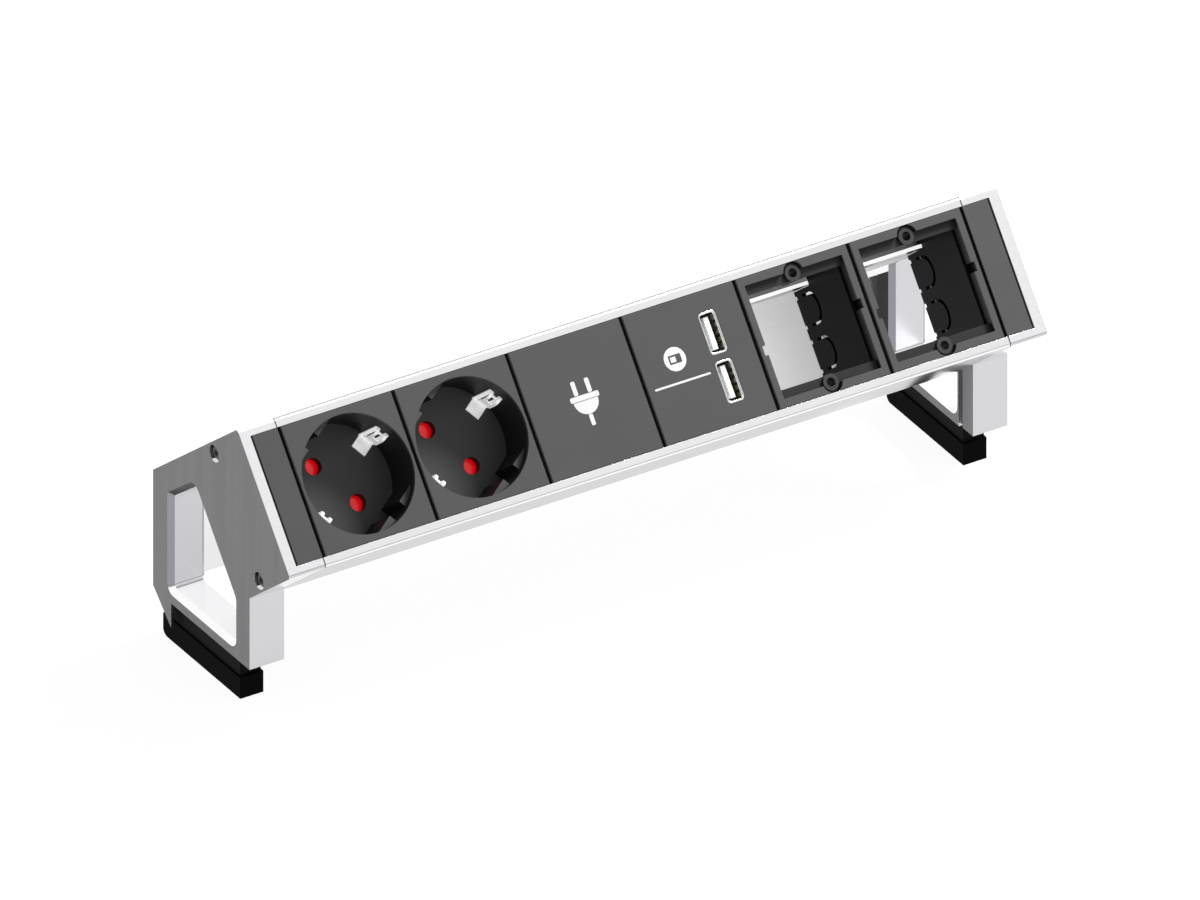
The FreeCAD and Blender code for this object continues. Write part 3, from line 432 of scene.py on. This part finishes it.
def finished_mesh(name, mesh, material):
    """Turns a bmesh into mesh data with one finish."""
    data = bpy.data.meshes.new(name)
    mesh.to_mesh(data)
    mesh.free()
    data.materials.append(material)
    return data


def new_piece(name, mesh, material, body="strip"):
    """Makes an object of the mesh, gives it a finish and rides it on a body."""
    bmesh.ops.recalc_face_normals(mesh, faces=mesh.faces)
    piece = put(name, finished_mesh(name, mesh, material))
    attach(piece, body)
    return piece


def band(mesh, first, second):
    """Faces between two closed loops with the same number of points."""
    count = len(first)
    for k in range(count):
        n = (k + 1) % count
        mesh.faces.new((first[k], first[n], second[n], second[k]))


def ink_finish():
    finish = Finish("white_ink", roughness=0.5)
    speckle = finish.noise(2500.0)
    finish.feed("Base Color", finish.blend(speckle, INK_DARK, INK_LIGHT))
    return finish.relief(speckle, 0.01 * MM, 0.3, 0.02 * MM).material


def print_outline(mesh, x, points):
    """Adds a flat printed shape. Points are (x, up) in millimetres from the plate's middle."""
    low = [mesh.verts.new(on_face(x + px * MM, pu * MM, -INK_SINK)) for px, pu in points]
    high = [mesh.verts.new(vert.co + OUT * INK_HEIGHT) for vert in low]
    mesh.faces.new(high)
    mesh.faces.new(low[::-1])
    band(mesh, low, high)


def rounded_bar(x, up, half_x, half_up, radius, steps=5):
    """Outline of a bar with round corners, in millimetres."""
    points = []
    for quarter, (sx, su) in enumerate(((1, 1), (-1, 1), (-1, -1), (1, -1))):
        for step in range(steps + 1):
            angle = math.pi / 2 * (quarter + step / steps)
            points.append((x + sx * (half_x - radius) + radius * math.cos(angle),
                           up + su * (half_up - radius) + radius * math.sin(angle)))
    return points


def half_disc(radius, steps=16):
    """Lower half of a disc round the plate's middle."""
    angles = [math.pi * (1 + k / steps) for k in range(steps + 1)]
    return [(radius * math.cos(angle), radius * math.sin(angle)) for angle in angles]


white_ink = ink_finish()
dress("blank_cover", moulded("cover_grey", PLATE_GREY))
mesh = bmesh.new()
for bar in (*PLUG_PINS, PLUG_COLLAR, PLUG_LEAD):
    print_outline(mesh, middle_x("blank_cover"), rounded_bar(*bar))
print_outline(mesh, middle_x("blank_cover"), half_disc(PLUG_RADIUS))
mark = new_piece("cover_pictogram", mesh, white_ink)

# ---------------------------------------------------------------------------------------------------
# The charger module. A cover with two upright ports; each port is a plated steel shell with a rolled
# lip, and holds a white tongue with gilt contacts. A battery pictogram is printed beside them.
# ---------------------------------------------------------------------------------------------------
PORT_X = MOUNTS["usb_upper"]["pos_m"][0]
PORT_UPS = {name: (Vector(MOUNTS[f"usb_{name}"]["pos_m"]) - FACE_POINT).dot(UP)
            for name in ("upper", "lower")}
# Section of the shell's wall as (half width, half length, corner radius, depth), in millimetres.
SHELL_RINGS = ((3.25, 7.2, 1.3, 0.6), (3.25, 7.2, 1.35, 0.05), (3.12, 7.05, 1.3, -0.08),
               (2.9, 6.8, 1.2, -0.1), (2.66, 6.5, 1.05, 0.1), (2.55, 6.35, 0.95, 0.6),
               (2.5, 6.3, 0.9, 1.6), (2.5, 6.3, 0.9, 15.0), (2.9, 6.7, 1.1, 15.1),
               (3.25, 7.2, 1.3, 15.0))
SHELL_NICKEL, GILT = (0.95, 0.95, 0.94, 1.0), (0.9, 0.66, 0.2, 1.0)
TONGUE_WHITE, BOARD_GREEN = (0.84, 0.88, 0.86, 1.0), (0.02, 0.15, 0.055, 1.0)
CASE_BLACK, COMPONENT_BLACK = (0.02, 0.02, 0.022, 1.0), (0.03, 0.03, 0.032, 1.0)
ICON_X, ICON_UP, ICON_RADIUS = -7.8, 3.8, 4.05
# The battery left open in the disc, its printed charge, and the plain line under the disc.
BATTERY_HOLE = (ICON_X, ICON_UP, 2.3, 1.5, 0.3)
BATTERY_CHARGE = (ICON_X - 0.7, ICON_UP, 1.0, 0.9, 0.15)
ICON_LINE = (ICON_X, -4.0, 10.6, 0.35, 0.3)


def port_shell(name, material):
    mesh = bmesh.new()
    rings = []
    for half_x, half_up, radius, depth in SHELL_RINGS:
        outline = rounded_bar(0, 0, half_x, half_up, radius, 6)
        rings.append([mesh.verts.new(on_face(PORT_X + px * MM, PORT_UPS[name] + pu * MM, depth * MM))
                      for px, pu in outline])
    for first, second in zip(rings, rings[1:] + rings[:1]):
        band(mesh, first, second)
    for face in mesh.faces:
        face.smooth = True
    shell = new_piece(f"port_shell_{name}", mesh, material)
    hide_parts(f"usb_port_{name}")


def print_ring(mesh, x, outer, inner):
    """Printed area between two outlines with the same number of points."""
    loops = [[mesh.verts.new(on_face(x + px * MM, pu * MM, -INK_SINK) + OUT * lift)
              for px, pu in outline]
             for lift in (0, INK_HEIGHT) for outline in (outer, inner)]
    low_out, low_in, high_out, high_in = loops
    band(mesh, high_out, high_in)
    band(mesh, low_in, low_out)
    band(mesh, low_out, high_out)
    band(mesh, high_in, low_in)


port_finish = plated("port_nickel", SHELL_NICKEL, 0.14, 0.05)
tongue_finish = gloss_plastic("tongue_white", TONGUE_WHITE)
for name in PORT_UPS:
    port_shell(name, port_finish)
    dress(f"usb_tongue_{name}", tongue_finish)
dress("usb_cover", moulded("charger_grey", PLATE_GREY))
dress("usb_contacts", plated("contact_gilt", GILT, 0.2))
dress("usb_case", moulded("case_black", CASE_BLACK))
dress("usb_board", gloss_plastic("board_green", BOARD_GREEN))
dress("usb_components", moulded("component_black", COMPONENT_BLACK, 0.35))

mesh = bmesh.new()
usb_x = middle_x("usb_cover")
disc = rounded_bar(ICON_X, ICON_UP, ICON_RADIUS, ICON_RADIUS, ICON_RADIUS)
print_ring(mesh, usb_x, disc, rounded_bar(*BATTERY_HOLE))
print_outline(mesh, usb_x, rounded_bar(*BATTERY_CHARGE))
print_outline(mesh, usb_x, rounded_bar(*ICON_LINE))
icon = new_piece("charger_pictogram", mesh, white_ink)

# ---------------------------------------------------------------------------------------------------
# The two empty frames for data modules. They are moulded in the same grey as the plates, with smooth
# black walls clipped behind them. The walls carry knock-outs that let a cable through.
# ---------------------------------------------------------------------------------------------------
# Painted shade on the frames' ledges and notches behind the face.
LEDGE_PAINTED_SHADE, NOTCH_PAINTED_SHADE = 0.3, 0.15
WALL_BLACK = (0.006, 0.006, 0.009, 1.0)
frame_finish = moulded("frame_grey", PLATE_GREY, recess=LEDGE_PAINTED_SHADE, wall=NOTCH_PAINTED_SHADE)
wall_finish = moulded("wall_black", WALL_BLACK, 0.38, 0.5, 0.02, edge=0.15, specular=0.04)
for number in (1, 2):
    dress(f"custom_{number}_frame", frame_finish)
    for side in ("left", "right"):
        dress(f"custom_{number}_wall_{side}", wall_finish)

# ---------------------------------------------------------------------------------------------------
# The mains inlet and the wiring. The inlet is black nylon with brass pins. The wires are copper with
# coloured insulation, brown, blue and green with yellow, and run behind the modules.
# ---------------------------------------------------------------------------------------------------
INLET_BLACK = (0.015, 0.015, 0.016, 1.0)
WIRE_BROWN, WIRE_BLUE = (0.13, 0.045, 0.02, 1.0), (0.02, 0.09, 0.42, 1.0)
WIRE_GREEN, WIRE_YELLOW = (0.03, 0.22, 0.04, 1.0), (0.75, 0.6, 0.03, 1.0)


def striped_insulation():
    """Green insulation with a yellow stripe along the wire."""
    finish = Finish("insulation_green_yellow", roughness=0.3, coat=0.3)
    stripe = finish.along(UP) > FACE_POINT.dot(UP)
    finish.feed("Base Color", finish.blend(stripe, WIRE_GREEN, WIRE_YELLOW))
    return finish.relief(finish.noise(400.0), 0.02 * MM, 0.3).material


dress("mains_inlet_body", moulded("inlet_black", INLET_BLACK, 0.4))
dress("mains_inlet_pins", brass_finish)
dress("line_wires", gloss_plastic("insulation_brown", WIRE_BROWN))
dress("neutral_wires", gloss_plastic("insulation_blue", WIRE_BLUE))
dress("earth_wires", striped_insulation())
for node in ("earth_bond_screw", "mains_inlet_screws", "foot_screws"):
    dress(node, steel_finish)

# ---------------------------------------------------------------------------------------------------
# The end cap screws. Steel pan heads with a six-lobed drive sit in counterbores in the caps' sides
# and cut their own thread in the profile's ports.
# ---------------------------------------------------------------------------------------------------
HEAD_RADIUS, HEAD_HEIGHT = 2.75 * MM, 1.9 * MM
DRIVE_RADIUS, DRIVE_DEPTH = 1.35 * MM, 1.1 * MM
DRIVE_FLOOR = HEAD_HEIGHT - DRIVE_DEPTH
SHANK_RADIUS, SHANK_LENGTH, TIP_LENGTH = 1.4 * MM, 22.0 * MM, 1.2 * MM
LOBES, LOBE_SHARE, AROUND = 6, 0.14, 72
SEAT_INSET = 2.1 * MM                                      # head seat below the cap's side
PORT_DROP, PORT_DEPTH = 21.85 * MM, 21.6 * MM              # screw ports from the face's middle line
# The screw heads are coloured dark grey.
SCREW_BLACK = (0.1, 0.1, 0.105, 1.0)
# Rings from the drive's floor over the head to the tip, as (round radius, lobed radius, height).
SCREW_RINGS = ((0.6 * MM, 0, DRIVE_FLOOR), (0, DRIVE_RADIUS * 0.94, DRIVE_FLOOR),
               (0, DRIVE_RADIUS, HEAD_HEIGHT - 0.1 * MM), (0.12 * MM, DRIVE_RADIUS, HEAD_HEIGHT),
               (HEAD_RADIUS * 0.72, 0, HEAD_HEIGHT * 0.96), (HEAD_RADIUS * 0.9, 0, HEAD_HEIGHT * 0.78),
               (HEAD_RADIUS, 0, HEAD_HEIGHT * 0.45), (HEAD_RADIUS, 0, 0.1 * MM),
               (HEAD_RADIUS * 0.97, 0, 0.0), (SHANK_RADIUS, 0, 0.0),
               (SHANK_RADIUS, 0, -SHANK_LENGTH), (SHANK_RADIUS * 0.5, 0, -SHANK_LENGTH - TIP_LENGTH))


def screw_mesh(material):
    """One screw: its head's underside at the origin, the shank along -z and the head along +z."""
    mesh = bmesh.new()
    loops = []
    for plain, lobed, z in SCREW_RINGS:
        loop = []
        for k in range(AROUND):
            angle = 2 * math.pi * k / AROUND
            radius = plain + lobed * (1 - LOBE_SHARE + LOBE_SHARE * math.cos(LOBES * angle))
            loop.append(mesh.verts.new((radius * math.cos(angle), radius * math.sin(angle), z)))
        loops.append(loop)
    mesh.faces.new(loops[0][::-1])
    mesh.faces.new(loops[-1])
    for first, second in zip(loops, loops[1:]):
        band(mesh, first, second)
    for face in mesh.faces:
        face.smooth = len(face.verts) == 4
    bmesh.ops.recalc_face_normals(mesh, faces=mesh.faces)
    return finished_mesh("cap_screw", mesh, material)


def screw_places():
    """Head seats, with the side that each screw's head points to."""
    low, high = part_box("end_cap_screws")
    return [(on_face(side * (high.x - SEAT_INSET), level, PORT_DEPTH), side)
            for side in (-1, 1) for level in (-PORT_DROP, PORT_DROP)]


def copying_tree(name):
    """Geometry Nodes tree that puts a screw on each point, turned by the point's turn attribute."""
    tree = bpy.data.node_groups.new(name, "GeometryNodeTree")
    for label, way, kind in (("Geometry", "INPUT", "Geometry"), ("Screw", "INPUT", "Object"),
                             ("Finish", "INPUT", "Material"), ("Geometry", "OUTPUT", "Geometry")):
        tree.interface.new_socket(label, in_out=way, socket_type="NodeSocket" + kind)
    way_in, way_out = tree.nodes.new("NodeGroupInput"), tree.nodes.new("NodeGroupOutput")
    info = tree.nodes.new("GeometryNodeObjectInfo")
    turned = tree.nodes.new("GeometryNodeInputNamedAttribute")
    turned.data_type = "FLOAT_VECTOR"
    turned.inputs["Name"].default_value = "turn"
    copies = tree.nodes.new("GeometryNodeInstanceOnPoints")
    real = tree.nodes.new("GeometryNodeRealizeInstances")
    paint = tree.nodes.new("GeometryNodeSetMaterial")
    for source, output, target, socket in (
            (way_in, "Geometry", copies, "Points"), (way_in, "Screw", info, "Object"),
            (info, "Geometry", copies, "Instance"), (turned, "Attribute", copies, "Rotation"),
            (copies, "Instances", real, "Geometry"), (real, "Geometry", paint, "Geometry"),
            (way_in, "Finish", paint, "Material"), (paint, "Geometry", way_out, "Geometry")):
        tree.links.new(source.outputs[output], target.inputs[socket])
    return tree


def place_by_nodes(name, template, places):
    """One piece with a copy of the template at every place."""
    points = bpy.data.meshes.new(name)
    points.from_pydata([place for place, side in places], [], [])
    turn = points.attributes.new("turn", "FLOAT_VECTOR", "POINT")
    for item, (place, side) in zip(turn.data, places):
        item.vector = (0, side * math.pi / 2, 0)
    holder, source = put(name + "_points", points), put(name + "_template", template)
    modifier = holder.modifiers.new("copies", "NODES")
    modifier.node_group = copying_tree(name + "_nodes")
    values = {"Screw": source, "Finish": template.materials[0]}
    for item in modifier.node_group.interface.items_tree:
        if item.in_out == "INPUT" and item.name in values:
            modifier[item.identifier] = values[item.name]
    bpy.context.view_layer.update()
    evaluated = holder.evaluated_get(bpy.context.evaluated_depsgraph_get())
    baked = bpy.data.meshes.new_from_object(evaluated)
    for helper in (holder, source):
        bpy.data.objects.remove(helper)
    return put(name, baked)


dark_screw_finish = plated("screw_dark", SCREW_BLACK, 0.32)
cap_screws = place_by_nodes("cap_screws", screw_mesh(dark_screw_finish), screw_places())
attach(cap_screws, "strip")
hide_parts("end_cap_screws")

# ---------------------------------------------------------------------------------------------------
# The studio. A pale floor lit from inside like a light table, an even sky, a key lamp on the right,
# a wide soft lamp in front of the face, and a parallel camera.
# ---------------------------------------------------------------------------------------------------
FLOOR_SIZE, FLOOR_DROP = 6.0, 0.05 * MM
FLOOR_DARK, FLOOR_LIGHT = (0.12, 0.12, 0.12, 1.0), (0.14, 0.14, 0.14, 1.0)
FLOOR_GLOW, GLOW_RADIUS, GLOW_EDGE, GLOW_LOSS = 0.93, 0.5, 0.5, 0.65
SKY_WHITE, SKY_STRENGTH = (1.0, 1.0, 1.0, 1.0), 0.42
# Lamps as (place, diameter, power), in metres and watts.
LAMPS = {"key_lamp": ((1.2, -0.15, 1.6), 0.7, 50.0), "rim_lamp": ((0.67, -0.99, 0.95), 1.6, 3.3)}
AIM = Vector((0.0, 0.0, 0.0445))
VIEW_WAY = Vector((-0.4469, -0.7251, 0.5240)).normalized()
VIEW_DISTANCE, VIEW_WIDTH = 1.6, 0.3882


def studio_floor():
    finish = Finish("studio_floor", roughness=0.9)
    finish.feed("Base Color", finish.blend(finish.noise(3.0), FLOOR_DARK, FLOOR_LIGHT))
    radius = finish.node("VectorMath", {"operation": "LENGTH"}, {0: finish.place}, "Value")
    outside = finish.node("Clamp", {}, {"Value": radius * (1.0 / GLOW_EDGE) - GLOW_RADIUS / GLOW_EDGE})
    finish.glow(1.0 - outside * GLOW_LOSS, FLOOR_GLOW)
    mesh = bmesh.new()
    bmesh.ops.create_grid(mesh, x_segments=2, y_segments=2, size=FLOOR_SIZE / 2)
    floor = put("studio_floor", finished_mesh("studio_floor", mesh, finish.material))
    floor.location.z = -FLOOR_DROP


def soft_lamp(name, place, size, power):
    lamp = put(name, bpy.data.lights.new(name, "AREA"))
    lamp.data.shape, lamp.data.size, lamp.data.energy = "DISK", size, power
    lamp.location = place
    lamp.rotation_euler = (AIM - Vector(place)).to_track_quat("-Z", "Y").to_euler()


scene = bpy.context.scene
scene.world = bpy.data.worlds.new("studio_sky")
scene.world.use_nodes = True
sky = scene.world.node_tree.nodes["Background"]
sky.inputs["Color"].default_value = SKY_WHITE
sky.inputs["Strength"].default_value = SKY_STRENGTH
scene.view_settings.view_transform = "Standard"
studio_floor()
for name, (place, size, power) in LAMPS.items():
    soft_lamp(name, place, size, power)

camera = put("camera", bpy.data.cameras.new("camera"))
camera.data.type, camera.data.ortho_scale = "ORTHO", VIEW_WIDTH
camera.location = AIM + VIEW_WAY * VIEW_DISTANCE
camera.rotation_euler = VIEW_WAY.to_track_quat("Z", "Y").to_euler()
scene.camera = camera

bpy.context.view_layer.update()
